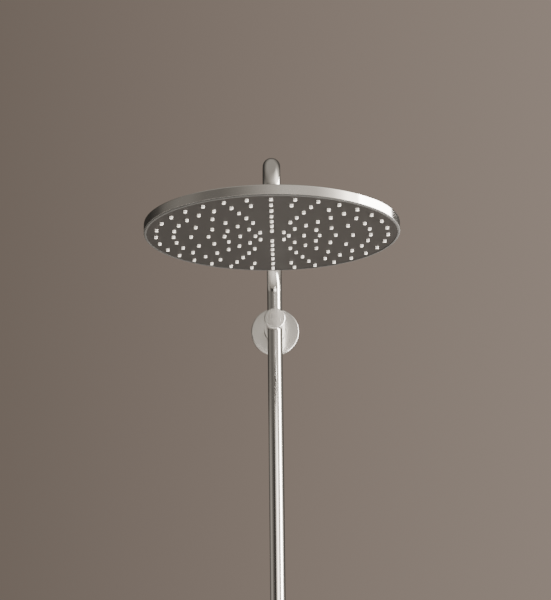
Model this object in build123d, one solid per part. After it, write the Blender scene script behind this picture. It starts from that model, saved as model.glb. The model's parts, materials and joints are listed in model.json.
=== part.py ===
"""Rainfall shower column: head on a ball joint, swivelling arm, riser and bar mixer.

Millimetres, +Z up, +Y into the wall, wall plane at Y = 0. The origin is the centre of the
bracket's two wall screws. The bracket, head rim and arm share the heights set below.
"""
import math
import os

from build123d import *

# ---- driving dimensions ------------------------------------------------------------------
TUBE_R = 10.5            # riser and arm, outside radius
BORE_R = 9.5             # riser and arm, inside radius
RISER_Y = -68.0          # riser axis in front of the wall
ARM_REACH = 450.0        # riser axis to head centre
ARM_Z = 85.0             # centreline of the arm's horizontal run
REAR_BEND_R = 45.0
FRONT_BEND_R = 37.0
HEAD_Y = RISER_Y - ARM_REACH
ARM_END = 43.0           # height of the tube's end over the head

HEAD_R = 150.0           # outside radius of the head's rim
FACE_R = 146.8           # radius of the graphite face
RIM_BOTTOM = -9.8        # lower edge of the chrome rim
SEAL_BOTTOM = -11.2      # lower edge of the dark seal under it
RIM_TOP = 1.6            # upper edge of the rim
HUB_TOP = 6.0            # top of the head's raised centre
NOZZLE_TIP = -13.2
NOZZLE_RINGS = [(19.5, 8), (37.4, 8), (55.7, 16), (74.6, 16), (94.9, 16), (115.6, 32),
                (136.1, 32)]
PILLAR_RING_R = 126.0    # screw pillars, between the two outer nozzle rings
PILLARS = 8

BALL_Z = 11.0            # centre of the ball joint
BALL_R = 11.0
SEAT_IN, SEAT_OUT, CUP_R = 11.08, 13.0, 13.1
STEM_LOW = BALL_Z + 15   # hexagon over the ball
STEM_TOP = 41.5
THREAD_R = 10.48         # G1/2 outside radius

BOSS_R = 15.0            # bracket boss
BOSS_FRONT = -83.5
BOSS_BORE = 10.55

MIXER_Z = -1010.0
MIXER_R = 22.0
MIXER_HALF = 92.0        # half length of the mixer's body
INLET_X = 75.0           # half the distance between the two supplies
UNION_DROP = 4.0         # offset of the wall unions
HANDLE_END = 146.0

os.makedirs("parts", exist_ok=True)


# ---- helpers -----------------------------------------------------------------------------
def turned(points):
    """A solid of revolution about Z from a closed profile of (radius, height) points."""
    outline = Polyline(*[(r, 0, z) for r, z in points], close=True)
    return revolve(make_face(outline), Axis.Z, 360)


def rod(radius, z0, z1):
    """A solid cylinder about Z between two heights."""
    return Pos(0, 0, z0) * Cylinder(radius, z1 - z0, align=(Align.CENTER, Align.CENTER, Align.MIN))


def ring(r_out, r_in, z0, z1):
    """A plain ring about Z between two heights."""
    return rod(r_out, z0, z1) - rod(r_in, z0 - 1, z1 + 1)


def hexagon(flats, z0, z1):
    """A hexagonal bar about Z with its two ends chamfered like a real nut's."""
    corner = flats / math.sqrt(3)
    bar = Pos(0, 0, z0) * extrude(RegularPolygon(corner, 6), z1 - z0)
    cut = corner - flats / 2
    limit = turned([(0, z0), (corner - cut, z0), (corner + 0.01, z0 + cut * 0.6),
                    (corner + 0.01, z1 - cut * 0.6), (corner - cut, z1), (0, z1)])
    return bar & limit


def circle_places(radius, count, start=0.0):
    """Points on a circle about Z, the first one towards the front (-Y)."""
    for k in range(count):
        a = math.radians(-90 + start + 360 * k / count)
        yield radius * math.cos(a), radius * math.sin(a)


def o_ring(major, minor, z):
    return Pos(0, 0, z) * Torus(major, minor)


def grub_screw(radius, length, socket=1.3, tip_r=None, tip_len=0.0):
    """A grub screw along +Z, its socket at Z = 0 and its tip at Z = length."""
    screw = rod(radius, 0, length - tip_len)
    if tip_len:
        screw += rod(tip_r, length - tip_len - 0.1, length)
    return screw - extrude(RegularPolygon(socket, 6), 1.8)


to_y = Rot(-90, 0, 0)      # turns +Z to +Y (towards the wall)
to_x = Rot(0, 90, 0)       # turns +Z to +X
to_minus_x = Rot(0, -90, 0)
at_head = Pos(0, HEAD_Y, 0)
at_riser = Pos(0, RISER_Y, 0)

parts = {}


def save(name, shape, *, solids=1):
    found = len(shape.solids())
    if found != solids:
        print("WARNING", name, "has", found, "solids, expected", solids)
    if solids == 1 and found == 1:
        shape = shape.solids()[0]
    else:
        shape = Compound(children=list(shape.solids()))
    parts[name] = shape
    export_step(shape, "parts/" + name + ".step")


# ---- head --------------------------------------------------------------------------------
def head_shell():
    """Cover and rim in one: a thin plate with a rolled edge and a raised centre."""
    top = Spline((148.4, 0, RIM_TOP), (100, 0, 2.3), (50, 0, 4.0), (24, 0, HUB_TOP))
    under = Spline((22.5, 0, 4.6), (50, 0, 2.7), (100, 0, 1.0), (147.0, 0, 0.1))
    outline = [
        Line((24, 0, HUB_TOP), (15.2, 0, HUB_TOP)),
        Line((15.2, 0, HUB_TOP), (15.2, 0, 4.6)),
        Line((15.2, 0, 4.6), (22.5, 0, 4.6)),
        under,
        Line((147.0, 0, 0.1), (147.0, 0, RIM_BOTTOM)),
        Line((147.0, 0, RIM_BOTTOM), (149.7, 0, RIM_BOTTOM)),
        Line((149.7, 0, RIM_BOTTOM), (HEAD_R, 0, RIM_BOTTOM + 0.3)),
        Line((HEAD_R, 0, RIM_BOTTOM + 0.3), (HEAD_R, 0, RIM_TOP - 1.6)),
        ThreePointArc((HEAD_R, 0, RIM_TOP - 1.6), (149.53, 0, RIM_TOP - 0.47),
                      (148.4, 0, RIM_TOP)),
        top,
    ]
    return revolve(make_face(outline), Axis.Z, 360)


def nozzle_places():
    for radius, count in NOZZLE_RINGS:
        yield from circle_places(radius, count)


def pillar_places():
    yield from circle_places(PILLAR_RING_R, PILLARS, start=360 / 64)


def face_plate():
    plate = rod(FACE_R, -10.6, -9.2)
    for x, y in pillar_places():
        plate += Pos(x, y, 0) * rod(2.5, -9.3, -5.65)
    holes = [Pos(x, y, 0) * rod(2.9, -11, -9) for x, y in nozzle_places()]
    holes += [Pos(x, y, 0) * rod(1.25, -9.6, -5) for x, y in pillar_places()]
    return plate - holes


def nozzle_mat():
    mat = rod(146.4, -9.2, -8.0)
    nub = turned([(0, -8.9), (2.75, -8.9), (2.6, -11.4), (2.3, -12.6), (1.7, NOZZLE_TIP),
                  (0, NOZZLE_TIP)])
    mat = mat + [Pos(x, y, 0) * nub for x, y in nozzle_places()]
    bore = turned([(0, NOZZLE_TIP - 1), (0.6, NOZZLE_TIP - 1), (0.6, -11.5), (1.3, -9.6),
                   (1.3, -7), (0, -7)])
    cuts = [Pos(x, y, 0) * bore for x, y in nozzle_places()]
    cuts += [Pos(x, y, 0) * rod(2.6, -10, -7) for x, y in pillar_places()]
    return mat - cuts


def spray_chamber():
    body = turned([(15.2, -3.7), (140.6, -3.7), (140.6, -8.0), (146.4, -8.0), (146.4, -1.7),
                   (21, -1.7), (21, 4.5), (15.2, 4.5)])
    for x, y in pillar_places():
        body += Pos(x, y, 0) * rod(3.2, -5.6, -3.6)
    body -= [Pos(x, y, 0) * turned([(0, -6), (1.35, -6), (1.35, -2.8), (2.5, -1.65), (2.5, -1),
                                    (0, -1)]) for x, y in pillar_places()]
    return body


def edge_seal():
    """Dark rubber ring under the rim, round the edge of the face."""
    top = RIM_BOTTOM - 0.05
    return turned([(146.85, top), (149.4, top), (148.4, SEAL_BOTTOM), (146.85, SEAL_BOTTOM)])


def face_screws():
    screw = turned([(0, -9.3), (1.25, -9.3), (1.25, -2.85), (2.35, -1.75), (0, -1.75)])
    screw -= Pos(0, 0, -2.6) * extrude(RegularPolygon(0.9, 6), 2)
    return Compound(children=[Pos(x, y, 0) * screw for x, y in pillar_places()])


def inlet_hub():
    hub = turned([(0, -5.7), (20, -5.7), (20, -3.7), (15, -3.7), (15, BALL_Z), (0, BALL_Z)])
    hub -= Pos(0, 0, BALL_Z) * Sphere(CUP_R)
    hub -= rod(5, -6, 2)
    hub -= rod(8, -6, -4.5)
    return hub - ring(18.6, 16.6, -5.3, -3)


def flow_limiter():
    disc = rod(7.9, -5.7, -4.5)
    return disc - [Pos(x, y, 0) * rod(0.9, -6, -4) for x, y in circle_places(3.4, 6)]


def socket_nut():
    low, top = HUB_TOP + 0.15, BALL_Z + 9
    nut = turned([(15.05, low), (19, low), (19, top - 1.4), (17.6, top), (12.5, top),
                  (10.6, BALL_Z + 7.7), (9.5, BALL_Z + 0.3), (15.05, BALL_Z + 0.3)])
    nut -= Pos(0, 0, BALL_Z) * Sphere(CUP_R)
    return nut - [Pos(x, y, 0) * rod(1.2, low + 1.4, top - 2.8)
                  for x, y in circle_places(19.6, 16)]


def seat(low, high):
    """A ring cut from a spherical shell between two elevations, in degrees."""
    far = 25
    wedge = turned([(0, BALL_Z)] + [(far * math.cos(math.radians(e)),
                                     BALL_Z + far * math.sin(math.radians(e)))
                                    for e in (low, high)])
    shell = Pos(0, 0, BALL_Z) * (Sphere(SEAT_OUT) - Sphere(SEAT_IN))
    return shell & wedge


def swivel_ball():
    ball = Pos(0, 0, BALL_Z) * Sphere(BALL_R)
    ball += turned([(0, BALL_Z), (6.5, BALL_Z), (6.5, STEM_LOW - 1), (7.5, STEM_LOW + 0.2),
                    (0, STEM_LOW + 0.2)])
    ball += hexagon(25, STEM_LOW, STEM_TOP)
    return ball - [rod(4, -5, 42), rod(THREAD_R, STEM_LOW + 3, 42)]


def inlet_strainer():
    """A rubber-rimmed mesh washer that lies on the bottom of the thread."""
    low = STEM_LOW + 3.05
    washer = ring(10.3, 7.2, low, low + 1.75)
    mesh = rod(7.4, low + 0.55, low + 1.05)
    holes = [rod(0.7, low, low + 2)]
    for radius, count in ((2.2, 6), (4.3, 12)):
        holes += [Pos(x, y, 0) * rod(0.7, low, low + 2)
                  for x, y in circle_places(radius, count)]
    return washer + (mesh - holes)


def arm_nipple():
    low, flange = STEM_LOW + 5, STEM_TOP + 0.2
    return turned([(7.4, low), (9.6, low), (10.4, low + 0.8), (10.4, flange), (TUBE_R, flange),
                   (TUBE_R, ARM_END), (BORE_R, ARM_END), (BORE_R, ARM_END + 4),
                   (7.4, ARM_END + 4)])


def arm_tube():
    """Up out of the bracket, forward over the head and down to it, in one bent tube."""
    path = FilletPolyline((0, RISER_Y, 0.65), (0, RISER_Y, ARM_Z), (0, HEAD_Y, ARM_Z),
                          (0, HEAD_Y, ARM_END), radius=(REAR_BEND_R, FRONT_BEND_R))
    start = Plane(origin=(0, RISER_Y, 0.65), z_dir=(0, 0, 1))
    tube = sweep(start * Circle(TUBE_R), path=path) - sweep(start * Circle(BORE_R), path=path)
    slot = Pos(0, 0, 6) * (rod(12, -1.8, 1.8) - rod(8.5, -2, 2))
    half = math.radians(55)
    fan = Polyline((0, 0), (30 * math.sin(half), -30 * math.cos(half)), (0, -60),
                   (-30 * math.sin(half), -30 * math.cos(half)), close=True)
    slot = slot & (Pos(0, 0, 2) * extrude(make_face(fan), 8))
    return tube - at_riser * slot


save("head_shell", at_head * head_shell())
save("face_plate", at_head * face_plate())
save("nozzle_mat", at_head * nozzle_mat())
save("spray_chamber", at_head * spray_chamber())
save("edge_seal", at_head * edge_seal())
save("face_screws", at_head * face_screws(), solids=PILLARS)
save("inlet_hub", at_head * inlet_hub())
save("hub_seal", at_head * o_ring(17.6, 0.8, -4.5))
save("flow_limiter", at_head * flow_limiter())
save("socket_nut", at_head * socket_nut())
save("upper_seat", at_head * seat(12, 33))
save("lower_seat", at_head * seat(-58, -12))
save("swivel_ball", at_head * swivel_ball())
save("inlet_strainer", at_head * inlet_strainer())
save("arm_nipple", at_head * arm_nipple())
save("arm_tube", arm_tube())

# ---- wall bracket ------------------------------------------------------------------------
plate = ring(30, 5, 0, 4) + ring(9, 5, 3.9, 31)
plate -= [Pos(x, 0, 0) * rod(2.75, -1, 5) for x in (-22, 22)]
save("wall_plate", Rot(90, 0, 0) * plate)

rosette = turned([(32.5, 0), (35, 0), (35, 4.6), (34.4, 5.6), (33.2, 6), (15.1, 6),
                  (15.1, 4.2), (32.5, 4.2)])
save("rosette", Rot(90, 0, 0) * rosette)

stop_z, clamp_z = 6.0, -7.0
boss = rod(BOSS_R, 4, -BOSS_FRONT) - rod(9.1, 3, 32)
boss -= ring(12.5, 11.5, -BOSS_FRONT - 1.6, -BOSS_FRONT + 1)
boss = Rot(90, 0, 0) * boss
boss -= at_riser * rod(BOSS_BORE, -20, 20)
for height in (stop_z, clamp_z):
    boss -= Pos(0, BOSS_FRONT - 1, height) * to_y * rod(2.5, 0, 12)
boss -= Pos(0, -18, -16) * rod(2.5, 0, 10)
save("bracket_body", boss)

cap = turned([(0, 0), (BOSS_R, 0), (BOSS_R, 1.7), (14.2, 2.5), (0, 2.5)])
cap += ring(12.45, 11.55, -1.5, 0.1)
save("front_cap", Pos(0, BOSS_FRONT, 0) * Rot(90, 0, 0) * cap)

save("arm_stop_screw", Pos(0, BOSS_FRONT + 0.2, stop_z) * to_y *
     grub_screw(2.5, 5.65, tip_r=1.5, tip_len=1.25))
save("riser_clamp_screw", Pos(0, BOSS_FRONT + 0.2, clamp_z) * to_y * grub_screw(2.5, 4.8))
save("bracket_grub_screw", Pos(0, -18, -14.4) * grub_screw(2.5, 5.4))

coupling = turned([(7, -45), (BORE_R, -45), (BORE_R, -0.6), (9.42, -0.6), (9.42, 30.5),
                   (8.7, 32), (7, 32)])
coupling -= [ring(11, 7.92, z - 1.1, z + 1.1) for z in (18, 25)]
save("arm_coupling", at_riser * coupling)
save("coupling_o_rings", at_riser * Compound(children=[o_ring(8.7, 0.78, z)
                                                        for z in (18, 25)]), solids=2)
save("thrust_washer", at_riser * ring(TUBE_R, 9.45, -0.6, 0.6))

# ---- riser -------------------------------------------------------------------------------
RISER_END = MIXER_Z + 40
save("riser_tube", at_riser * ring(TUBE_R, BORE_R, RISER_END, -0.6))

at_mixer = Pos(0, RISER_Y, MIXER_Z)
save("riser_collar", at_mixer * ring(13, TUBE_R, 40, 43))
save("riser_gasket", at_mixer * ring(13, 8.6, 38, 40))
union = hexagon(32, 25, 40) + rod(15.6, 39, 47)
union -= [rod(13.25, 20, 43.1), rod(10.8, 20, 50)]
save("riser_union_nut", at_mixer * union)

# ---- mixer body --------------------------------------------------------------------------
body = to_x * rod(MIXER_R, -MIXER_HALF, MIXER_HALF)
body = chamfer(body.edges().filter_by(GeomType.CIRCLE), 1.2)
body += rod(13.2, 0, 38)
for x in (-INLET_X, INLET_X):
    body += Pos(x, 0, 0) * to_y * rod(11, 10, 32)
    body += Pos(x, 0, 0) * to_y * rod(13, 30, 32)
body -= [to_x * rod(18, 36, 100), to_x * rod(18, -100, -36), to_x * rod(13, -40, 40),
         rod(8, 0, 40)]
body -= [Pos(x, 0, 0) * to_y * rod(8.5, 16, 40) for x in (-INLET_X, INLET_X)]
save("mixer_body", at_mixer * body)

# thermostatic cartridge on the right, its axis along X
cartridge = turned([(7, 40), (17.9, 40), (17.9, 84), (12, 84), (12, 96), (5.06, 96),
                    (5.06, 80), (14, 80), (14, 40.7), (7, 40.7)])
ports = [Rot(0, 0, a) * Pos(0, 0, 70) * Rot(0, 90, 0) * rod(4, 10, 20) for a in range(0, 360, 60)]
save("thermo_cartridge", at_mixer * to_x * (cartridge - ports))
save("thermo_nut", at_mixer * to_x * (ring(17.95, 12.1, 84.05, 91.5) - [
    Pos(x, y, 0) * rod(1.3, 88, 93) for x, y in circle_places(15, 4)]))
spindle = turned([(0, 68), (10, 68), (10, 71), (5, 71), (5, 108), (0, 108)])
save("thermo_spindle", at_mixer * to_x * spindle)
save("wax_element", at_mixer * to_x * turned([(0, 44), (4, 44), (4, 50), (5.5, 50), (5.5, 58),
                                              (3, 58), (3, 66), (0, 66)]))
save("regulating_piston", at_mixer * to_x * (ring(13.95, 5.5, 50, 56) - [
    Pos(x, y, 0) * rod(1.5, 49, 57) for x, y in circle_places(9.6, 8)]))
wire = Helix(2.6, 7.2, 7.6, center=(0, 0, 41.9))
profile = Plane(origin=wire @ 0, z_dir=wire % 0) * Circle(0.5)
save("piston_spring", at_mixer * to_x * sweep(profile, path=wire, is_frenet=True))

# ceramic flow cartridge on the left
left = turned([(14, 40), (17.9, 40), (17.9, 84), (12, 84), (12, 96), (5.06, 96), (5.06, 80),
               (14, 80)])
left -= [Rot(0, 0, a) * Pos(0, 0, 70) * Rot(0, 90, 0) * rod(4, 10, 20)
         for a in range(0, 360, 60)]
save("flow_cartridge", at_mixer * to_minus_x * left)
save("flow_nut", at_mixer * to_minus_x * (ring(17.95, 12.1, 84.05, 91.5) - [
    Pos(x, y, 0) * rod(1.3, 88, 93) for x, y in circle_places(15, 4)]))
window = [Pos(0, y, 0) * rod(4, 30, 60) for y in (-7.5, 7.5)]
save("fixed_disc", at_mixer * to_minus_x * (rod(14, 44, 48) - window))
save("moving_disc", at_mixer * to_minus_x * (rod(13.6, 48.05, 52) - window))
save("flow_spindle", at_mixer * to_minus_x * turned([(0, 52), (10, 52), (10, 55), (5, 55),
                                                     (5, 108), (0, 108)]))


# ---- handles -----------------------------------------------------------------------------
def handle():
    """A round handle about Z with finger flutes; its hub takes the spindle."""
    shell = turned([(0, HANDLE_END), (20.5, HANDLE_END), (MIXER_R, HANDLE_END - 1.5),
                    (MIXER_R, 93.5), (19.6, 93.5), (19.6, HANDLE_END - 6),
                    (9, HANDLE_END - 6), (9, 97.5), (5, 97.5), (5, 108.2), (0, 108.2)])
    flutes = [Rot(0, 0, a) * Pos(MIXER_R + 1.6, 0, 0) * rod(2.6, 112, 138)
              for a in range(0, 360, 20) if a not in (0, 180)]
    return shell - flutes - Pos(5, 0, 102) * Rot(0, 90, 0) * rod(1.5, -1, 20)


BUTTON_X = 125.0
temperature = to_x * handle()
temperature -= Pos(BUTTON_X, 0, 0) * rod(4.6, 14, 24)
save("temperature_handle", at_mixer * temperature)
save("flow_handle", at_mixer * to_minus_x * Rot(0, 0, 180) * handle())
for side, turn in (("temperature", to_x), ("flow", to_minus_x * Rot(0, 0, 180))):
    screw = Pos(8.7, 0, 102) * Rot(0, -90, 0) * grub_screw(1.5, 3.7, socket=0.8)
    save(side + "_grub_screw", at_mixer * turn * screw)

button = turned([(0, 10.6), (2.4, 10.6), (2.4, 17.4), (5.4, 17.4), (5.4, 18.6), (4.4, 18.6),
                 (4.4, 23.6), (3.6, 24.4), (0, 24.4)])
save("safety_button", at_mixer * Pos(BUTTON_X, 0, 0) * button)
coil = Helix(1.6, 7.2, 3.3, center=(0, 0, 9.6))
coil_profile = Plane(origin=coil @ 0, z_dir=coil % 0) * Circle(0.35)
save("button_spring", at_mixer * Pos(BUTTON_X, 0, 0) * sweep(coil_profile, path=coil,
                                                             is_frenet=True))

# ---- supplies ----------------------------------------------------------------------------
for side, x in (("hot", -INLET_X), ("cold", INLET_X)):
    inlet = Pos(x, RISER_Y, MIXER_Z) * to_y          # local Z = distance behind the riser axis
    wall = -RISER_Y                                  # the wall plane in that measure
    nut = hexagon(32, 23, 42) - [rod(13.25, 29.9, 50), rod(11.3, 20, 50)]
    save("union_nut_" + side, inlet * nut)
    mesh = rod(8.3, 32.8, 33.3) - [Pos(px, py, 0) * rod(0.9, 30, 36)
                                   for px, py in circle_places(5, 10)]
    save("filter_gasket_" + side, inlet * (ring(13, 8, 32, 34) + mesh))
    # local +Y is the world's -Z, so the wall side sits lower by the union's offset
    union = rod(13.2, 34, 49) + Pos(0, UNION_DROP / 2, 0) * rod(14.5, 48, wall)
    union += Pos(0, UNION_DROP, 0) * turned([(0, wall - 1), (THREAD_R, wall - 1),
                                             (THREAD_R, wall + 14), (9.6, wall + 15),
                                             (0, wall + 15)])
    union -= [rod(7.5, 30, 58), Pos(0, UNION_DROP, 0) * rod(7.5, 54, wall + 20)]
    save("s_union_" + side, inlet * union)
    save("escutcheon_" + side, inlet * turned([
        (30.6, wall), (32, wall), (32, wall - 2.5), (18, wall - 25), (13.3, wall - 25),
        (13.3, wall - 21.5), (17.2, wall - 21.5), (30.6, wall - 2.2)]))
    valve = ring(8.45, 6.6, 20, 31) + ring(7, 3.2, 25, 26.5)
    valve += Pos(0, 0, 25) * Box(13.4, 1.2, 1.5, align=(Align.CENTER, Align.CENTER, Align.MIN))
    valve -= rod(0.8, 20, 30)
    save("check_valve_" + side, inlet * valve)
    save("check_membrane_" + side, inlet * (rod(5.9, 24.1, 25) + rod(0.8, 24.5, 27.6)))

print(len(parts), "nodes")
whole = Compound(children=list(parts.values()))
print(whole.bounding_box())
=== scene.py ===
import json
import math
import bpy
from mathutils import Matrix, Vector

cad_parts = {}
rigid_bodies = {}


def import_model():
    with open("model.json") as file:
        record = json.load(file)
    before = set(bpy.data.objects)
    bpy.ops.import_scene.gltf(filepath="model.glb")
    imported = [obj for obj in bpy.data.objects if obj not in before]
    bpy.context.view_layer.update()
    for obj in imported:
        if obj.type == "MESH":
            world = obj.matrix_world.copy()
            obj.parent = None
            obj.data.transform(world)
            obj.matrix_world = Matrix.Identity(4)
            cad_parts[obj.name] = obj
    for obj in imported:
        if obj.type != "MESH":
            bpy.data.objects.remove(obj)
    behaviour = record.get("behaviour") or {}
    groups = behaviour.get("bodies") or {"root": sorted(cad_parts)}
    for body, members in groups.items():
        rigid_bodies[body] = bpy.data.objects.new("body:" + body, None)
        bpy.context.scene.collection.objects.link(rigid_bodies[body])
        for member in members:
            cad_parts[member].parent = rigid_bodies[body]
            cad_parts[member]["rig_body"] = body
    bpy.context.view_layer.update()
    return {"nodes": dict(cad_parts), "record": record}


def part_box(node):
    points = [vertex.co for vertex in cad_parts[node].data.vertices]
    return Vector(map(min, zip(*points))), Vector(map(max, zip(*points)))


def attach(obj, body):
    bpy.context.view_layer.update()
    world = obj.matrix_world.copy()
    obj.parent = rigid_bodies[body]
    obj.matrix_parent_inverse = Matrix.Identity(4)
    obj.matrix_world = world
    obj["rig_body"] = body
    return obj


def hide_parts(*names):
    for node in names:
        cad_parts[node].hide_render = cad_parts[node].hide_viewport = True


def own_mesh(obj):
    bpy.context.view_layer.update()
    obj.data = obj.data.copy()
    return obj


bl_info = {
    "name": "Rainfall shower column",
    "version": (1, 0, 0),
    "blender": (4, 5, 0),
    "location": "View3D > Sidebar > Shower",
    "description": "Finishes and detail pieces for a rainfall shower column around its fixed frame",
    "category": "Add Mesh",
}

import bmesh
import bpy
from bpy.props import FloatProperty, FloatVectorProperty, IntProperty, PointerProperty
from mathutils import Vector

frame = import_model()
nodes = frame["nodes"]
slot_of = {part["node"]: part["material_slot"] for part in frame["record"]["subparts"]}

MM = 0.001
CLOSE = 2e-6             # two points this near are one point
X, Y, Z = Vector((1, 0, 0)), Vector((0, 1, 0)), Vector((0, 0, 1))

# the head, in millimetres from its middle
RIM_FOOT = -9.8          # lower edge of the chrome rim
RIM_INSIDE = 147.0       # radius of the rim's inner wall
DOME_FROM = 24           # radius where the cover's dome leaves the hub
DOME_RADII = (24, 28, 33, 39, 46, 54, 63, 73, 84, 96, 108, 120, 131, 140, 146)
MAT_FACE, MAT_BACK = -9.2, -8.05
NOZZLE_RINGS = ((19.5, 8), (37.4, 8), (55.7, 16), (74.6, 16), (94.9, 16), (115.6, 32),
                (136.1, 32))    # radius and number of nozzles

# the grips, in millimetres from the middle of the mixer
FLUTE_START, FLUTE_END = 112, 138
FLUTE_FADE = 0.6         # a flute is shallower this far past its ends
FLUTE_SHAPE = (1.0, 0.965, 0.86, 0.67, 0.40, 0.05)    # depth from its middle to its edge
FADED = 0.62             # share of the depth left past the ends

GRAIN = 900              # scale of the grain of moulded and cast pieces


def middle(node):
    low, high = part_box(node)
    return (low + high) / 2


def span(node):
    low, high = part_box(node)
    return high - low


HEAD = Vector((0, middle("head_shell").y, 0))
RISER = Vector((0, middle("riser_tube").y, 0))
MIXER = Vector((0, RISER.y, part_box("temperature_handle")[0].z + span("temperature_handle").z / 2))
INLETS = {"hot": middle("union_nut_hot").x, "cold": middle("union_nut_cold").x}


# ---- sizes and colours a user may change ---------------------------------------------------
def length(name, description, default):
    return FloatProperty(name=name, description=description, default=default, min=0,
                         precision=4, unit="LENGTH", subtype="DISTANCE")


class ShowerHead(bpy.types.PropertyGroup):
    """Sizes of the head's cover and spray face"""
    rim_radius: length("Rim radius", "Outside radius of the chrome rim",
                       span("head_shell").x / 2)
    rim_top: length("Rim top", "Height of the rim's upper edge", 0.0016)
    rim_rounding: length("Rim rounding", "Rounding of the rim's upper edge", 0.0014)
    hub_top: length("Hub top", "Height of the cover's raised centre",
                    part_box("head_shell")[1].z)
    nozzle_root: length("Nozzle root", "Radius of a nozzle where it leaves the face", 0.0021)
    nozzle_mouth: length("Nozzle mouth", "Radius of a nozzle's end", 0.0016)


class ShowerColumn(bpy.types.PropertyGroup):
    """Sizes of the tubes and the wall bracket"""
    tube_radius: length("Tube radius", "Outside radius of the riser and the arm",
                        span("riser_tube").x / 2)
    wall: length("Tube wall", "Thickness of the tube's wall", 0.001)
    rear_bend: length("Rear bend", "Radius of the bend over the riser", 0.045)
    front_bend: length("Front bend", "Radius of the bend over the head", 0.037)
    rosette_radius: length("Rosette radius", "Outside radius of the wall rosette",
                           span("rosette").x / 2)
    boss_radius: length("Boss radius", "Radius of the bracket's boss",
                        span("bracket_body").x / 2)


class ShowerMixer(bpy.types.PropertyGroup):
    """Sizes of the handles and their flutes"""
    handle_radius: length("Handle radius", "Outside radius of the handles",
                          span("temperature_handle").z / 2)
    flute_depth: length("Flute depth", "Depth of the finger flutes", 0.001)
    flutes: IntProperty(name="Flutes", default=18, min=6, max=36,
                        description="Finger flutes round a handle, with two left out")


class ShowerFinish(bpy.types.PropertyGroup):
    """Colours and gloss of the column's finishes"""
    chrome: FloatVectorProperty(
        name="Chrome", description="Colour of the mirror plate", subtype="COLOR", size=3,
        min=0, max=1, default=(0.80, 0.79, 0.775))
    chrome_gloss: FloatProperty(
        name="Chrome roughness", description="Roughness of clean plate", min=0, max=1,
        default=0.07, subtype="FACTOR")
    graphite: FloatVectorProperty(
        name="Spray face", description="Colour of the graphite spray face", subtype="COLOR",
        size=3, min=0, max=1, default=(0.0185, 0.0175, 0.017))
    silicone: FloatVectorProperty(
        name="Silicone", description="Colour of the soft nozzles", subtype="COLOR", size=3,
        min=0, max=1, default=(0.93, 0.925, 0.92))


class ShowerStage(bpy.types.PropertyGroup):
    """Floor, surround, light and camera"""
    floor_drop: length("Floor drop", "Depth of the floor below the bracket", 2.15)
    floor_size: length("Floor size", "Side of the floor", 90.0)
    # painted shade: the backdrop is darker on the left and lighter on the right, as if lit from the
    # right
    backdrop_shade_left: FloatVectorProperty(
        name="Backdrop left", description="Colour behind the column on its left",
        subtype="COLOR", size=3, min=0, max=1, default=(0.170, 0.137, 0.114))
    backdrop_lit_right: FloatVectorProperty(
        name="Backdrop right", description="Colour behind the column on its right",
        subtype="COLOR", size=3, min=0, max=1, default=(0.290, 0.235, 0.198))
    light_tint: FloatVectorProperty(
        name="Light tint", description="Tint of the studio's soft light", subtype="COLOR",
        size=3, min=0, max=1, default=(1.0, 0.91, 0.79))
    light_power: FloatProperty(
        name="Light strength", description="Radiance of the brightest part of the surround",
        default=6.0, min=0)
    lens: FloatProperty(
        name="Lens", description="Focal length", unit="CAMERA", default=103.21)


# ---- materials -----------------------------------------------------------------------------
class Nodes:
    """A short way to add and join shader nodes."""

    def __init__(self, name):
        self.material = bpy.data.materials.new(name)
        self.material.use_nodes = True
        self.tree = self.material.node_tree
        self.tree.nodes.clear()
        self.out = self.add("ShaderNodeOutputMaterial")
        self.shader = self.add("ShaderNodeBsdfPrincipled")
        self.link(self.shader, "BSDF", self.out, "Surface")
        self.place = self.add("ShaderNodeTexCoord")

    def add(self, kind, **settings):
        node = self.tree.nodes.new(kind)
        for key, value in settings.items():
            setattr(node, key, value)
        return node

    def link(self, a, a_socket, b, b_socket):
        self.tree.links.new(a.outputs[a_socket], b.inputs[b_socket])

    def noise(self, scale, detail=3.0, stretch=(1, 1, 1)):
        mapping = self.add("ShaderNodeMapping")
        mapping.inputs["Scale"].default_value = stretch
        self.link(self.place, "Object", mapping, "Vector")
        node = self.add("ShaderNodeTexNoise")
        node.inputs["Scale"].default_value = scale
        node.inputs["Detail"].default_value = detail
        self.link(mapping, "Vector", node, "Vector")
        return node

    def ramp(self, source, socket, low, high, colours):
        node = self.add("ShaderNodeValToRGB")
        node.color_ramp.elements[0].position = low
        node.color_ramp.elements[1].position = high
        for element, colour in zip(node.color_ramp.elements, colours):
            element.color = (*colour, 1)
        self.link(source, socket, node, "Fac")
        return node

    def range(self, source, socket, low, high, out_low, out_high):
        node = self.add("ShaderNodeMapRange")
        for key, value in (("From Min", low), ("From Max", high), ("To Min", out_low),
                           ("To Max", out_high)):
            node.inputs[key].default_value = value
        self.link(source, socket, node, "Value")
        return node

    def bump(self, source, socket, strength, distance):
        node = self.add("ShaderNodeBump")
        node.inputs["Strength"].default_value = strength
        node.inputs["Distance"].default_value = distance
        self.link(source, socket, node, "Height")
        return node

    def set(self, **values):
        for key, value in values.items():
            self.shader.inputs[key.replace("_", " ")].default_value = value


def shade(colour, factor):
    return tuple(min(1.0, c * factor) for c in colour)


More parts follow.
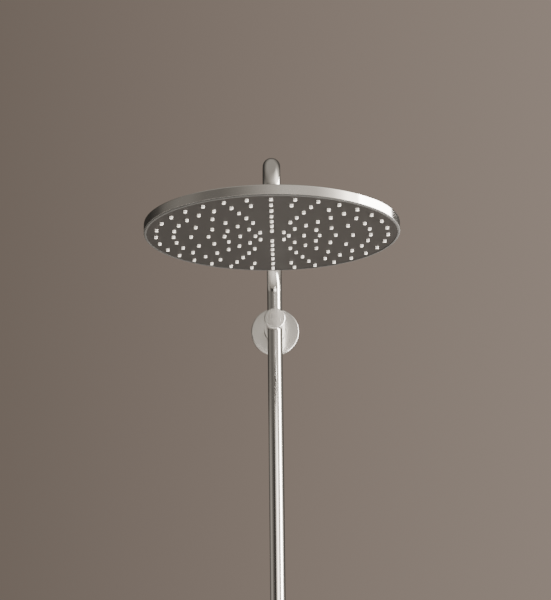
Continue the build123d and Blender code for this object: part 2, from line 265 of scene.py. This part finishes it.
def chrome(name, finish, stretch=(1, 1, 1), gloss=1.0):
    """Mirror plate with faint polishing marks, a slow change of tone and dried water spots."""
    m = Nodes(name)
    m.set(Metallic=1.0, Specular_IOR_Level=0.5)
    tone = m.noise(9, 4, stretch)              # slow change of tone
    m.link(m.ramp(tone, "Fac", 0.35, 0.7, (shade(finish.chrome, 0.965), finish.chrome)), "Color",
           m.shader, "Base Color")
    polish = m.noise(260, 5, stretch)          # polishing marks, a few millimetres apart
    rough = finish.chrome_gloss * gloss
    clean = m.range(polish, "Fac", 0.3, 0.75, rough * 0.8, rough * 1.35)
    cells = m.add("ShaderNodeTexVoronoi", feature="SMOOTH_F1")    # one water spot to a cell
    cells.inputs["Scale"].default_value = 85
    m.link(m.place, "Object", cells, "Vector")
    ring = m.range(cells, "Distance", 0.10, 0.16, rough * 0.64, 0.0)
    where = m.range(m.noise(14, 2), "Fac", 0.52, 0.62, 0.0, 1.0)
    spot = m.add("ShaderNodeMath", operation="MULTIPLY")
    m.link(ring, "Result", spot, 0)
    m.link(where, "Result", spot, 1)
    both = m.add("ShaderNodeMath", operation="ADD")
    m.link(clean, "Result", both, 0)
    m.link(spot, "Value", both, 1)
    m.link(both, "Value", m.shader, "Roughness")
    fine = m.bump(polish, "Fac", 0.02, 0.000006)
    m.link(fine, "Normal", m.shader, "Normal")
    return m.material


def graphite(name, finish):
    """Satin graphite coating with a very fine grain and slow cloudiness."""
    m = Nodes(name)
    cloud = m.noise(16, 4)
    grain = m.noise(1500, 2)
    mix = m.add("ShaderNodeMix", data_type="RGBA", blend_type="MULTIPLY")
    mix.inputs[0].default_value = 1.0
    tone = m.ramp(cloud, "Fac", 0.3, 0.7,
                  (shade(finish.graphite, 0.93), shade(finish.graphite, 1.05)))
    speck = m.ramp(grain, "Fac", 0.35, 0.65, ((0.93, 0.93, 0.93), (1, 1, 1)))
    m.link(tone, "Color", mix, 6)
    m.link(speck, "Color", mix, 7)
    m.link(mix, 2, m.shader, "Base Color")
    m.link(m.range(cloud, "Fac", 0.3, 0.7, 0.34, 0.44), "Result", m.shader, "Roughness")
    m.link(m.bump(grain, "Fac", 0.06, 0.0001), "Normal", m.shader, "Normal")
    m.set(Specular_IOR_Level=0.02)
    return m.material


def moulded(name, colour, rough, metallic=0.0, vary=0.92, stretch=(1, 1, 1), bump=0.05, **extra):
    """Plain material with cloudy colour, a grain in its gloss and a fine bump."""
    m = Nodes(name)
    cloud = m.noise(40, 4, stretch)
    grain = m.noise(GRAIN, 3, stretch)
    m.link(m.ramp(cloud, "Fac", 0.3, 0.7, (shade(colour, vary), colour)), "Color",
           m.shader, "Base Color")
    m.link(m.range(grain, "Fac", 0.3, 0.7, rough * 0.85, rough * 1.2), "Result",
           m.shader, "Roughness")
    m.link(m.bump(grain, "Fac", bump, 0.0001), "Normal", m.shader, "Normal")
    m.set(Metallic=metallic, **extra)
    return m.material


def make_materials(finish):
    along_z = (1, 1, 0.08)
    return {
        "chrome_head": chrome("chrome_head", finish),
        "chrome_tube": chrome("chrome_tube", finish, stretch=along_z),
        "chrome_fitting": chrome("chrome_fitting", finish, gloss=0.5),
        "chrome_handle": chrome("chrome_handle", finish),
        "graphite_face": graphite("graphite_face", finish),
        "nozzle_silicone": moulded("nozzle_silicone", finish.silicone, 0.32, bump=0.03,
                                   Subsurface_Weight=0.25, Subsurface_Radius=(0.002, 0.002, 0.002),
                                   Subsurface_Scale=0.4),
        "grey_polymer": moulded("grey_polymer", (0.35, 0.36, 0.37), 0.45),
        "white_ptfe": moulded("white_ptfe", (0.82, 0.82, 0.80), 0.38, vary=0.95),
        "black_rubber": moulded("black_rubber", (0.012, 0.012, 0.012), 0.7, vary=0.8,
                                Specular_IOR_Level=0.15),
        "bare_brass": moulded("bare_brass", (0.72, 0.53, 0.27), 0.26, metallic=1.0, vary=0.88,
                              stretch=(1, 6, 1)),
        "stainless": moulded("stainless", (0.60, 0.60, 0.59), 0.30, metallic=1.0, vary=0.93,
                             stretch=(1, 1, 6)),
        "ceramic_disc": moulded("ceramic_disc", (0.86, 0.84, 0.80), 0.12, vary=0.97),
        "button_red": moulded("button_red", (0.50, 0.035, 0.025), 0.22, vary=0.9,
                              Coat_Weight=0.4),
    }


# ---- modelling -----------------------------------------------------------------------------
def rest():
    """Leave edit mode with nothing selected."""
    if bpy.context.object and bpy.context.object.mode != "OBJECT":
        bpy.ops.object.mode_set(mode="OBJECT")
    bpy.ops.object.select_all(action="DESELECT")


def take(piece):
    """Make one piece the only selected one."""
    rest()
    piece.select_set(True)
    bpy.context.view_layer.objects.active = piece


def start(name, add, **where):
    """Add a primitive at its size and place, and open it with all of it selected."""
    rest()
    add(**where)
    piece = bpy.context.object
    piece.name = piece.data.name = name
    bpy.ops.object.transform_apply(location=True, rotation=True, scale=True)
    bpy.ops.object.mode_set(mode="EDIT")
    bpy.ops.mesh.select_all(action="SELECT")
    return piece


def choose(test):
    """Select the open mesh's vertices whose place passes a test."""
    bpy.ops.mesh.select_all(action="DESELECT")
    mesh = bmesh.from_edit_mesh(bpy.context.object.data)
    for vert in mesh.verts:
        if test(vert.co):
            vert.select_set(True)
    mesh.select_flush(True)
    bmesh.update_edit_mesh(bpy.context.object.data)


def turn(name, outline, at, axis=Z, steps=128, closed=True):
    """Draw a half outline of (radius, height, rounding) points in millimetres by extruding one
    point, round its corners, and spin it about the axis."""
    out = X if abs(axis.z) > 0.5 else Z
    points = [at + (out * p[0] + axis * p[1]) * MM for p in outline]
    piece = start(name, bpy.ops.mesh.primitive_plane_add, size=MM, location=points[0])
    bpy.ops.mesh.merge(type="CENTER")
    for a, b in zip(points, points[1:]):
        bpy.ops.mesh.extrude_region_move(TRANSFORM_OT_translate={"value": b - a})
    if closed:
        choose(lambda co: min((co - points[0]).length, (co - points[-1]).length) < CLOSE)
        bpy.ops.mesh.edge_face_add()
    for point, corner in zip(points, outline):
        if len(corner) > 2:
            choose(lambda co: (co - point).length < CLOSE)
            bpy.ops.mesh.bevel(offset=corner[2] * MM, segments=4, affect="VERTICES")
    bpy.ops.mesh.select_all(action="SELECT")
    bpy.ops.mesh.spin(steps=steps, angle=math.tau, center=at, axis=axis)
    close()
    return piece


def close():
    """Merge seams and poles and point all faces outwards."""
    bpy.ops.mesh.select_all(action="SELECT")
    bpy.ops.mesh.remove_doubles(threshold=CLOSE)
    bpy.ops.mesh.normals_make_consistent(inside=False)


def apply(piece, kind, **settings):
    """Add a modifier with these settings and apply it."""
    take(piece)
    bpy.ops.object.modifier_add(type=kind)
    modifier = piece.modifiers[-1]
    for key, value in settings.items():
        setattr(modifier, key, value)
    bpy.ops.object.modifier_apply(modifier=modifier.name)


def combine(piece, tool, operation="DIFFERENCE"):
    """Cut a tool out of a piece, or join it on, and delete the tool."""
    apply(piece, "BOOLEAN", object=tool, operation=operation, solver="EXACT")
    bpy.data.objects.remove(tool)


def soften(piece, width, angle=35, segments=2):
    """Bevel the sharp edges of a piece."""
    apply(piece, "BEVEL", width=width * MM, segments=segments, limit_method="ANGLE",
          angle_limit=math.radians(angle), use_clamp_overlap=True)


def hang(piece, *replaced, angle=35):
    """Smooth a piece, give it its finish, and let it ride where the nodes it stands for ride."""
    take(piece)
    bpy.ops.object.shade_smooth_by_angle(angle=math.radians(angle))
    apply(piece, "WEIGHTED_NORMAL", keep_sharp=True, weight=60)
    slot = slot_of[replaced[0]]
    piece.data.materials.clear()
    piece.data.materials.append(bpy.data.materials[slot])
    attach(piece, nodes[replaced[0]]["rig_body"])
    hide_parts(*replaced)
    rest()
    return piece


def refine(node, name, width=0.2, flat=0.4, angle=35):
    """Copy a node, weld its loose triangles into whole faces and bevel its edges."""
    rest()
    piece = bpy.data.objects.new(name, nodes[node].data.copy())
    bpy.context.scene.collection.objects.link(piece)
    take(piece)
    bpy.ops.object.mode_set(mode="EDIT")
    bpy.ops.mesh.select_all(action="SELECT")
    bpy.ops.mesh.remove_doubles(threshold=CLOSE)
    bpy.ops.mesh.dissolve_limited(angle_limit=math.radians(flat))
    rest()
    if width:
        soften(piece, width)
    return hang(piece, node, angle=angle)


def flute(at, axis, radius, count, steps, depths, low, high, skip=lambda angle: False):
    """Press flutes into a turned piece: each column of points, counted from the middle of its
    flute, is drawn towards the axis by its own depth."""
    side = X if abs(axis.z) > 0.5 else Z
    other = axis.cross(side)
    per = steps // count
    scale_all = [1 if abs(v) > 0.5 else None for v in axis]

    def column(co):
        local = co - at
        return round(math.atan2(local.dot(other), local.dot(side)) / math.tau * steps)

    for k, depth in enumerate(depths):
        def wanted(co):
            local = co - at
            height = local.dot(axis) / MM
            off = (local - axis * local.dot(axis)).length / MM
            step = column(co)
            near = step % per
            return (low - 0.01 <= height <= high + 0.01 and abs(off - radius) < 0.05
                    and min(near, per - near) == k
                    and not skip(math.degrees(step / steps * math.tau)))
        choose(wanted)
        f = 1 - depth / radius
        bpy.ops.transform.resize(value=[v or f for v in scale_all], center_override=at)


# ---- operators -----------------------------------------------------------------------------
class SHOWER_OT_finishes(bpy.types.Operator):
    """Give every frame node the finish of its slot"""
    bl_idname = "shower.finishes"
    bl_label = "Finishes"

    def execute(self, context):
        made = make_materials(context.scene.shower_finish)
        for node, slot in slot_of.items():
            nodes[node].data.materials.clear()
            nodes[node].data.materials.append(made[slot])
        return {"FINISHED"}


class SHOWER_OT_cover(bpy.types.Operator):
    """Chrome cover of the head: rolled rim, thin plate and raised centre"""
    bl_idname = "shower.cover"
    bl_label = "Head cover"

    def execute(self, context):
        head = context.scene.shower_head
        rim, top, hub = (v / MM for v in (head.rim_radius, head.rim_top, head.hub_top))
        level = rim - 1.6                      # radius where the dome has come down to the rim
        dome = [(r, top + (hub - top) * ((level - r) / (level - DOME_FROM)) ** 2.1)
                for r in DOME_RADII]
        outline = [(15.2, 4.6), (15.2, hub, 0.4), *dome,
                   (rim, top, head.rim_rounding / MM), (rim, RIM_FOOT, 0.12),
                   (RIM_INSIDE, RIM_FOOT), (RIM_INSIDE, 0.1), (100, 1.0), (50, 2.7), (22.5, 4.6)]
        hang(turn("head_cover", outline, HEAD, steps=288), "head_shell")
        return {"FINISHED"}


class SHOWER_OT_face(bpy.types.Operator):
    """Dark seal round the face, and the soft mat with its nozzles"""
    bl_idname = "shower.face"
    bl_label = "Spray face"

    def execute(self, context):
        head = context.scene.shower_head
        root, mouth = head.nozzle_root / MM, head.nozzle_mouth / MM
        seal = [(146.85, -9.82), (149.86, -9.82), (149.6, -10.5, 0.3), (148.8, -11.2, 0.4),
                (146.85, -11.2, 0.2)]
        hang(turn("rim_seal", seal, HEAD, steps=288), "edge_seal")

        edge = RIM_INSIDE - 0.7
        mat = turn("nozzle_mat_sheet", [(0, MAT_FACE), (edge, MAT_FACE), (edge, MAT_BACK),
                                        (0, MAT_BACK)], HEAD, steps=96, closed=False)
        nozzle = [(0, -8.9), (root, -8.9), (root - 0.1, -11.0), (root - 0.22, -12.1),
                  (mouth + 0.35, -12.85), (mouth - 0.25, -13.15), (0.8, -13.15), (0.6, -12.2),
                  (0, -12.2)]
        places = []
        for radius, count in NOZZLE_RINGS:
            for k in range(count):
                angle = math.tau * k / count
                places.append(Vector((math.sin(angle), -math.cos(angle), 0)) * radius * MM)
        first = turn("nozzle", nozzle, HEAD + places[0], steps=12, closed=False)
        copies = [first]
        for place in places[1:]:
            take(first)
            bpy.ops.object.duplicate(linked=False)
            bpy.ops.transform.translate(value=place - places[0])
            copies.append(bpy.context.object)
        take(mat)
        for copy in copies:
            copy.select_set(True)
        bpy.ops.object.join()
        mat.name = mat.data.name = "spray_nozzles"
        bpy.ops.object.transform_apply(location=True, rotation=True, scale=True)
        hang(mat, "nozzle_mat", angle=50)
        return {"FINISHED"}


class SHOWER_OT_joint(bpy.types.Operator):
    """Fluted socket nut, ball with its hexagon, and the nipple in the arm"""
    bl_idname = "shower.joint"
    bl_label = "Ball joint"

    def execute(self, context):
        nut = [(15.05, 6.15), (19, 6.15, 0.35), (19, 7.2), (19, 7.6), (19, 17.1), (19, 17.5),
               (19, 18.7, 0.5), (17.7, 20, 0.5), (12.5, 20, 0.3), (10.6, 18.7), (9.5, 11.3),
               (15.05, 11.3)]
        piece = turn("socket_nut_fluted", nut, HEAD, steps=384)
        flute(HEAD, Z, 19, 16, 384, (0.60, 0.54, 0.36, 0.08), 7.6, 17.1)
        hang(piece, "socket_nut")
        refine("swivel_ball", "ball_and_hexagon", width=0.25)
        refine("arm_nipple", "nipple_flange", width=0.15)
        return {"FINISHED"}


class SHOWER_OT_arm(bpy.types.Operator):
    """Bent arm tube, from inside the bracket to the head's nipple"""
    bl_idname = "shower.arm"
    bl_label = "Arm"

    def execute(self, context):
        column = context.scene.shower_column
        low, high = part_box("arm_tube")
        level = high.z - column.tube_radius
        foot = Vector((0, RISER.y, low.z))
        piece = start("arm_bent_tube", bpy.ops.mesh.primitive_circle_add, vertices=96,
                      radius=column.tube_radius, fill_type="NOTHING", location=foot)
        bpy.ops.mesh.extrude_edges_move(
            TRANSFORM_OT_translate={"value": Z * (level - column.rear_bend - foot.z)})
        bpy.ops.mesh.spin(steps=36, angle=-math.pi / 2, axis=X,
                          center=(0, RISER.y - column.rear_bend, level - column.rear_bend))
        run = RISER.y - column.rear_bend - (HEAD.y + column.front_bend)
        bpy.ops.mesh.extrude_edges_move(TRANSFORM_OT_translate={"value": -Y * run})
        bpy.ops.mesh.spin(steps=32, angle=-math.pi / 2, axis=X,
                          center=(0, HEAD.y + column.front_bend, level - column.front_bend))
        drop = level - column.front_bend - 0.043
        bpy.ops.mesh.extrude_edges_move(TRANSFORM_OT_translate={"value": -Z * drop})
        close()
        apply(piece, "SOLIDIFY", thickness=column.wall, offset=-1)
        hang(piece, "arm_tube")
        return {"FINISHED"}


class SHOWER_OT_bracket(bpy.types.Operator):
    """Wall rosette, boss with its two bores, and the domed front cap"""
    bl_idname = "shower.bracket"
    bl_label = "Wall bracket"

    def execute(self, context):
        column = context.scene.shower_column
        rose, boss = column.rosette_radius / MM, column.boss_radius / MM
        tube = column.tube_radius / MM
        plate = [(rose - 2.5, 0), (rose, 0), (rose, 6, 1.7), (boss + 1.2, 6),
                 (boss + 0.1, 5.6, 0.2), (boss + 0.1, 4.2), (rose - 2.5, 4.2)]
        hang(turn("wall_rosette", plate, Vector(), axis=-Y, steps=192), "rosette")

        back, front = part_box("bracket_body")
        body = turn("bracket_boss", [(9.1, -back.y / MM), (9.1, -front.y / MM),
                                     (boss, -front.y / MM, 0.4), (boss, -back.y / MM, 0.25)],
                    Vector(), axis=-Y, steps=192)
        bore = start("bore", bpy.ops.mesh.primitive_cylinder_add, vertices=128,
                     radius=(tube + 0.06) * MM, depth=0.06, location=RISER)
        combine(body, bore)
        hole = start("hole", bpy.ops.mesh.primitive_cylinder_add, vertices=48,
                     radius=0.0025, depth=0.012, location=(0, -0.018, -0.012))
        combine(body, hole)
        soften(body, 0.25, angle=40)
        hang(body, "bracket_body")

        cap_low, cap_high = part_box("front_cap")
        face = -cap_low.y / MM
        root = -back.y / MM
        cap = [(0, face), (6, face), (boss - 1, face, 0.3), (boss, face - 0.8, 0.4),
               (boss, root + 0.05, 0.15), (0, root + 0.05)]
        hang(turn("boss_cap", cap, Vector(), axis=-Y, steps=192, closed=False), "front_cap")
        return {"FINISHED"}


class SHOWER_OT_riser(bpy.types.Operator):
    """Straight riser tube and the union nut at its foot"""
    bl_idname = "shower.riser"
    bl_label = "Riser"

    def execute(self, context):
        column = context.scene.shower_column
        low, high = (v.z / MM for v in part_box("riser_tube"))
        tube = column.tube_radius / MM
        wall = column.wall / MM
        outline = [(tube, low), (tube, low + 60), (tube, high), (tube - wall, high),
                   (tube - wall, low)]
        hang(turn("riser", outline, RISER, steps=128), "riser_tube")
        refine("riser_union_nut", "riser_union", width=0.35)
        return {"FINISHED"}


class SHOWER_OT_mixer(bpy.types.Operator):
    """Bar mixer's body with its inlets and outlet"""
    bl_idname = "shower.mixer"
    bl_label = "Mixer body"

    def execute(self, context):
        low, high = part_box("mixer_body")
        half = high.x / MM
        bar = [(18, -half, 0.2), (22, -half, 1.2), (22, half, 1.2), (18, half, 0.2), (18, 36),
               (18, -36)]
        body = turn("mixer_bar", bar, MIXER, axis=X, steps=160)
        stubs = [([(8, 10), (13.2, 10), (13.2, 38, 0.4), (8, 38, 0.2)], MIXER, Z)]
        for place in INLETS.values():
            stubs.append(([(8.5, 16), (11, 16), (11, 30), (13, 30), (13, 32), (8.5, 32)],
                          MIXER + X * place, Y))
        for outline, at, axis in stubs:
            stub = turn("stub", outline, at, axis=axis, steps=96)
            combine(body, stub, "UNION")
        hang(body, "mixer_body")
        return {"FINISHED"}


class SHOWER_OT_handles(bpy.types.Operator):
    """Fluted handles, and the stop button in the temperature handle"""
    bl_idname = "shower.handles"
    bl_label = "Handles"

    def execute(self, context):
        mixer = context.scene.shower_mixer
        r = mixer.handle_radius / MM
        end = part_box("temperature_handle")[1].x / MM
        outline = [(0, end), (9, end - 0.05), (15.2, end - 0.2), (15.5, end - 0.55),
                   (16.0, end - 0.55), (16.3, end - 0.25), (r, end - 1.0, 1.2),
                   (r, FLUTE_END + 1.4), (r, FLUTE_END + FLUTE_FADE), (r, FLUTE_END),
                   (r, FLUTE_START), (r, FLUTE_START - FLUTE_FADE), (r, FLUTE_START - 1.4),
                   (r, 98.4, 0.15), (r - 0.5, 98.1), (r - 0.5, 97.5), (r, 97.2, 0.15),
                   (r, 93.5, 0.4), (19.6, 93.5), (19.6, 140), (9, 140), (9, 97.5),
                   (5, 97.5), (5, 108.2), (0, 108.2)]
        steps = mixer.flutes * 20
        deep = [f * mixer.flute_depth / MM for f in FLUTE_SHAPE]
        shallow = [depth * FADED for depth in deep]

        def plain(angle):
            """The grips have no flute at the button and opposite it."""
            return min(abs(angle) % 180, 180 - abs(angle) % 180) < 8

        for side, name, axis in (("temperature_handle", "temperature_grip", X),
                                 ("flow_handle", "flow_grip", -X)):
            piece = turn(name, outline, MIXER, axis=axis, steps=steps, closed=False)
            for depths, low, high in (
                    (deep, FLUTE_START, FLUTE_END),
                    (shallow, FLUTE_END + FLUTE_FADE, FLUTE_END + FLUTE_FADE),
                    (shallow, FLUTE_START - FLUTE_FADE, FLUTE_START - FLUTE_FADE)):
                flute(MIXER, axis, r, mixer.flutes, steps, depths, low, high, plain)
            if side == "temperature_handle":
                hole = start("hole", bpy.ops.mesh.primitive_cylinder_add, vertices=64,
                             radius=0.0046, depth=0.010,
                             location=(middle("safety_button").x, MIXER.y, MIXER.z + 0.0195))
                combine(piece, hole)
            hang(piece, side)

        top = (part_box("safety_button")[1].z - MIXER.z) / MM
        button = [(0, 10.6), (2.4, 10.6), (2.4, 17.4), (5.4, 17.4), (5.4, 18.6), (4.4, 18.6),
                  (4.4, top - 0.3, 0.9), (2.0, top - 0.05), (0, top)]
        at = Vector((middle("safety_button").x, MIXER.y, MIXER.z))
        hang(turn("stop_button", button, at, steps=64, closed=False), "safety_button")

        spring = refine("button_spring", "stop_spring", width=0)
        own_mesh(spring)
        return {"FINISHED"}


class SHOWER_OT_supplies(bpy.types.Operator):
    """Wall escutcheons, union nuts and offset unions of the two supplies"""
    bl_idname = "shower.supplies"
    bl_label = "Supplies"

    def execute(self, context):
        for side, place in INLETS.items():
            low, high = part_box("escutcheon_" + side)
            wall, front = (high.y - MIXER.y) / MM, (low.y - MIXER.y) / MM
            edge = (high.x - low.x) / 2 / MM
            outline = [(edge - 1.4, wall), (edge, wall, 0.3), (edge, wall - 2.5, 1.0),
                       (18, front, 0.8), (13.3, front, 0.3), (13.3, front + 3.5),
                       (17.2, front + 3.5), (edge - 1.4, wall - 2.2)]
            at = MIXER + X * place
            hang(turn("wall_cone_" + side, outline, at, axis=Y, steps=128), "escutcheon_" + side)
            refine("union_nut_" + side, "supply_nut_" + side, width=0.35)
            refine("s_union_" + side, "offset_union_" + side, width=0.2)
        return {"FINISHED"}


# azimuth from the front towards the right in degrees, and radiance there; the first list is the
# studio near the horizon, the second is the studio over it, and the third is the upper studio
LOW_STUDIO = ((-180, .05), (-150, .05), (-120, .22), (-94, .45), (-76, .26), (-54, .10),
              (-38, .04), (-22, .05), (-11, .70), (-2, 2.0), (10, 4.8), (20, 5.6), (28, 1.3),
              (36, .75), (50, .85), (62, 2.4), (76, 3.4), (90, 2.6), (104, .35), (122, .10),
              (180, .05))
HIGH_STUDIO = ((-180, .03), (-140, .035), (-122, .07), (-110, .155), (-92, .21), (-76, .21),
               (-62, .16), (-44, .158), (-28, .22), (-6, .39), (10, .60), (24, .64), (40, .70),
               (48, .98), (56, 1.5), (64, 2.9), (72, 6.0), (84, 6.0), (90, .5), (120, .20),
               (150, .10), (180, .04))
UPPER_STUDIO = ((-180, .05), (-120, .06), (-87, .17), (-52, .25), (-22, .39), (7, .60),
                (36, 1.0), (68, 2.7), (95, 3.4), (115, .8), (150, .10), (180, .05))
TOP_LIGHT, FLOOR_LIGHT = 0.36, 0.20            # radiance straight above and below the horizon

# sine of the elevation where one part of the studio starts and ends giving way to the next
LOW_TO_HIGH, HIGH_TO_UPPER, UPPER_TO_TOP, LOW_TO_FLOOR = (
    (0.186, 0.204), (0.37, 0.48), (0.55, 0.85), (0.0, -0.06))

BACKDROP_SHADE_SPREAD = 0.16     # sine of the angle from the middle where the backdrop's painted shading, darker on the left and lighter on the right, stops changing
PANEL_WHITE = 0.35       # share of plain white in the colour of a panel

EYE = Vector((0.0116, -2.4460, -0.6054))
EYE_PITCH, EYE_YAW, EYE_ROLL = (math.radians(v) for v in (14.986, -0.249, -0.645))


class SHOWER_OT_stage(bpy.types.Operator):
    """Pale floor, studio surround and the camera"""
    bl_idname = "shower.stage"
    bl_label = "Stage"

    def execute(self, context):
        stage = context.scene.shower_stage
        rest()
        bpy.ops.mesh.primitive_plane_add(size=stage.floor_size, location=-Z * stage.floor_drop)
        floor = context.object
        floor.name = "floor"
        pale = Nodes("pale_floor")
        pale.set(Roughness=0.55)
        pale.link(pale.ramp(pale.noise(0.8, 3), "Fac", 0.3, 0.7,
                            ((0.74, 0.72, 0.70), (0.78, 0.765, 0.745))), "Color",
                  pale.shader, "Base Color")
        side = pale.add("ShaderNodeNewGeometry")
        clear = pale.add("ShaderNodeBsdfTransparent")
        either = pale.add("ShaderNodeMixShader")
        pale.link(side, "Backfacing", either, 0)
        pale.link(pale.shader, "BSDF", either, 1)
        pale.link(clear, "BSDF", either, 2)
        pale.link(either, "Shader", pale.out, "Surface")
        floor.data.materials.append(pale.material)
        self.studio(context, stage)
        tint = stage.light_tint
        self.softbox("right_panel", (0.741, -0.440, -0.30), (-0.095, -0.990, -0.30), 0.66, 1.38,
                     46, tint)
        self.softbox("under_panel", (0.1, -1.1, -stage.floor_drop + 0.02), (0, HEAD.y, 0), 2.4,
                     2.0, 320, tint, mirrored=False)
        self.softbox("top_panel", (0, -0.8, 3.2), (0, -0.5, 0), 6, 6, 300, tint, mirrored=False)

        camera = bpy.data.cameras.new("camera")
        camera.lens = stage.lens
        eye = bpy.data.objects.new("camera", camera)
        context.scene.collection.objects.link(eye)
        eye.location = EYE
        level = math.cos(EYE_PITCH)
        forward = Vector((math.sin(EYE_YAW) * level, math.cos(EYE_YAW) * level,
                          math.sin(EYE_PITCH)))
        eye.rotation_mode = "QUATERNION"
        aim = forward.to_track_quat("-Z", "Y").to_matrix()
        right = aim.col[0] * math.cos(EYE_ROLL) + aim.col[1] * math.sin(EYE_ROLL)
        up = aim.col[1] * math.cos(EYE_ROLL) - aim.col[0] * math.sin(EYE_ROLL)
        aim.col[0], aim.col[1] = right, up
        eye.rotation_quaternion = aim.to_quaternion()
        context.scene.camera = eye
        return {"FINISHED"}

    def softbox(self, name, place, target, width, depth, watts, tint, mirrored=True):
        """Soft rectangular light; one that isn't mirrored isn't seen in the plate."""
        light = bpy.data.lights.new(name, "AREA")
        light.shape = "RECTANGLE"
        light.size, light.size_y = width, depth
        light.energy = watts
        light.color = [PANEL_WHITE + (1 - PANEL_WHITE) * t for t in tint]
        lamp = bpy.data.objects.new(name, light)
        bpy.context.scene.collection.objects.link(lamp)
        lamp.location = place
        lamp.rotation_mode = "QUATERNION"
        lamp.rotation_quaternion = (Vector(target) - Vector(place)).to_track_quat("-Z", "Y")
        lamp.visible_camera = False
        lamp.visible_glossy = mirrored

    def studio(self, context, stage):
        """Soft panels round the column, seen in its plate; the eye itself sees a backdrop with
        painted shading, darker on the left and lighter on the right.
        """
        world = bpy.data.worlds.new("studio")
        context.scene.world = world
        world.use_nodes = True
        tree = world.node_tree
        tree.nodes.clear()

        def add(kind, *inputs, **settings):
            node = tree.nodes.new(kind)
            for key, value in settings.items():
                setattr(node, key, value)
            for socket, value in inputs:
                if hasattr(value, "is_output"):
                    tree.links.new(value, node.inputs[socket])
                else:
                    node.inputs[socket].default_value = value
            return node

        def ramp(source, stops, tint=(1, 1, 1)):
            node = add("ShaderNodeValToRGB", ("Fac", source))
            points = node.color_ramp.elements
            while len(points) < len(stops):
                points.new(0.5)
            for point, (position, value) in zip(points, stops):
                point.position = position
                colour = [value * t for t in tint] if isinstance(value, float) else value
                point.color = (*colour, 1)
            return node.outputs["Color"]

        def blend(factor, a, b):
            node = add("ShaderNodeMix", (0, factor), (6, a), (7, b), data_type="RGBA")
            return node.outputs[2]

        def part(value, low, high):
            node = add("ShaderNodeMapRange", ("Value", value), ("From Min", low),
                       ("From Max", high))
            return node.outputs["Result"]

        place = add("ShaderNodeTexCoord")
        x, y, z = add("ShaderNodeSeparateXYZ", (0, place.outputs["Generated"])).outputs
        front = add("ShaderNodeMath", (0, y), (1, -1.0), operation="MULTIPLY").outputs[0]
        angle = add("ShaderNodeMath", (0, x), (1, front), operation="ARCTAN2").outputs[0]
        around = part(angle, -math.pi, math.pi)
        power = stage.light_power
        rings = [ramp(around, [((a + 180) / 360, v / power) for a, v in studio],
                      stage.light_tint) for studio in (LOW_STUDIO, HIGH_STUDIO, UPPER_STUDIO)]
        above, below = ([v / power * t for t in stage.light_tint] + [1]
                        for v in (TOP_LIGHT, FLOOR_LIGHT))
        light = blend(part(z, *LOW_TO_HIGH), *rings[:2])
        light = blend(part(z, *HIGH_TO_UPPER), light, rings[2])
        light = blend(part(z, *UPPER_TO_TOP), light, above)
        light = blend(part(z, *LOW_TO_FLOOR), light, below)
        lit = add("ShaderNodeBackground", ("Color", light), ("Strength", power))
        # painted shade: the backdrop runs from its darker left to its lighter right, where the
        # light falls
        backdrop = ramp(part(x, -BACKDROP_SHADE_SPREAD, BACKDROP_SHADE_SPREAD),
                        [(0.0, tuple(stage.backdrop_shade_left)), (1.0, tuple(stage.backdrop_lit_right))])
        plain = add("ShaderNodeBackground", ("Color", backdrop), ("Strength", 1.0))
        seen = add("ShaderNodeLightPath").outputs["Is Camera Ray"]
        both = add("ShaderNodeMixShader", (0, seen), (1, lit.outputs[0]), (2, plain.outputs[0]))
        add("ShaderNodeOutputWorld", ("Surface", both.outputs[0]))


class SHOWER_PT_panel(bpy.types.Panel):
    """Sidebar panel listing the column's pieces"""
    bl_label = "Shower column"
    bl_idname = "SHOWER_PT_panel"
    bl_space_type = "VIEW_3D"
    bl_region_type = "UI"
    bl_category = "Shower"

    def draw(self, context):
        for operator in PIECES:
            self.layout.operator(operator.bl_idname)
        for name in GROUPS:
            group = getattr(context.scene, name)
            for key in group.__annotations__:
                self.layout.prop(group, key)


PIECES = (SHOWER_OT_finishes, SHOWER_OT_cover, SHOWER_OT_face, SHOWER_OT_joint, SHOWER_OT_arm,
          SHOWER_OT_bracket, SHOWER_OT_riser, SHOWER_OT_mixer, SHOWER_OT_handles,
          SHOWER_OT_supplies, SHOWER_OT_stage)
GROUPS = {"shower_head": ShowerHead, "shower_column": ShowerColumn, "shower_mixer": ShowerMixer,
          "shower_finish": ShowerFinish, "shower_stage": ShowerStage}
CLASSES = (*GROUPS.values(), *PIECES, SHOWER_PT_panel)


def register():
    for kind in CLASSES:
        bpy.utils.register_class(kind)
    for name, group in GROUPS.items():
        setattr(bpy.types.Scene, name, PointerProperty(type=group))


def unregister():
    for name in GROUPS:
        delattr(bpy.types.Scene, name)
    for kind in reversed(CLASSES):
        bpy.utils.unregister_class(kind)


def main():
    register()
    bpy.ops.shower.finishes()
    bpy.ops.shower.cover()
    bpy.ops.shower.face()
    bpy.ops.shower.joint()
    bpy.ops.shower.arm()
    bpy.ops.shower.bracket()
    bpy.ops.shower.riser()
    bpy.ops.shower.mixer()
    bpy.ops.shower.handles()
    bpy.ops.shower.supplies()
    bpy.ops.shower.stage()


if __name__ == "__main__":
    main()
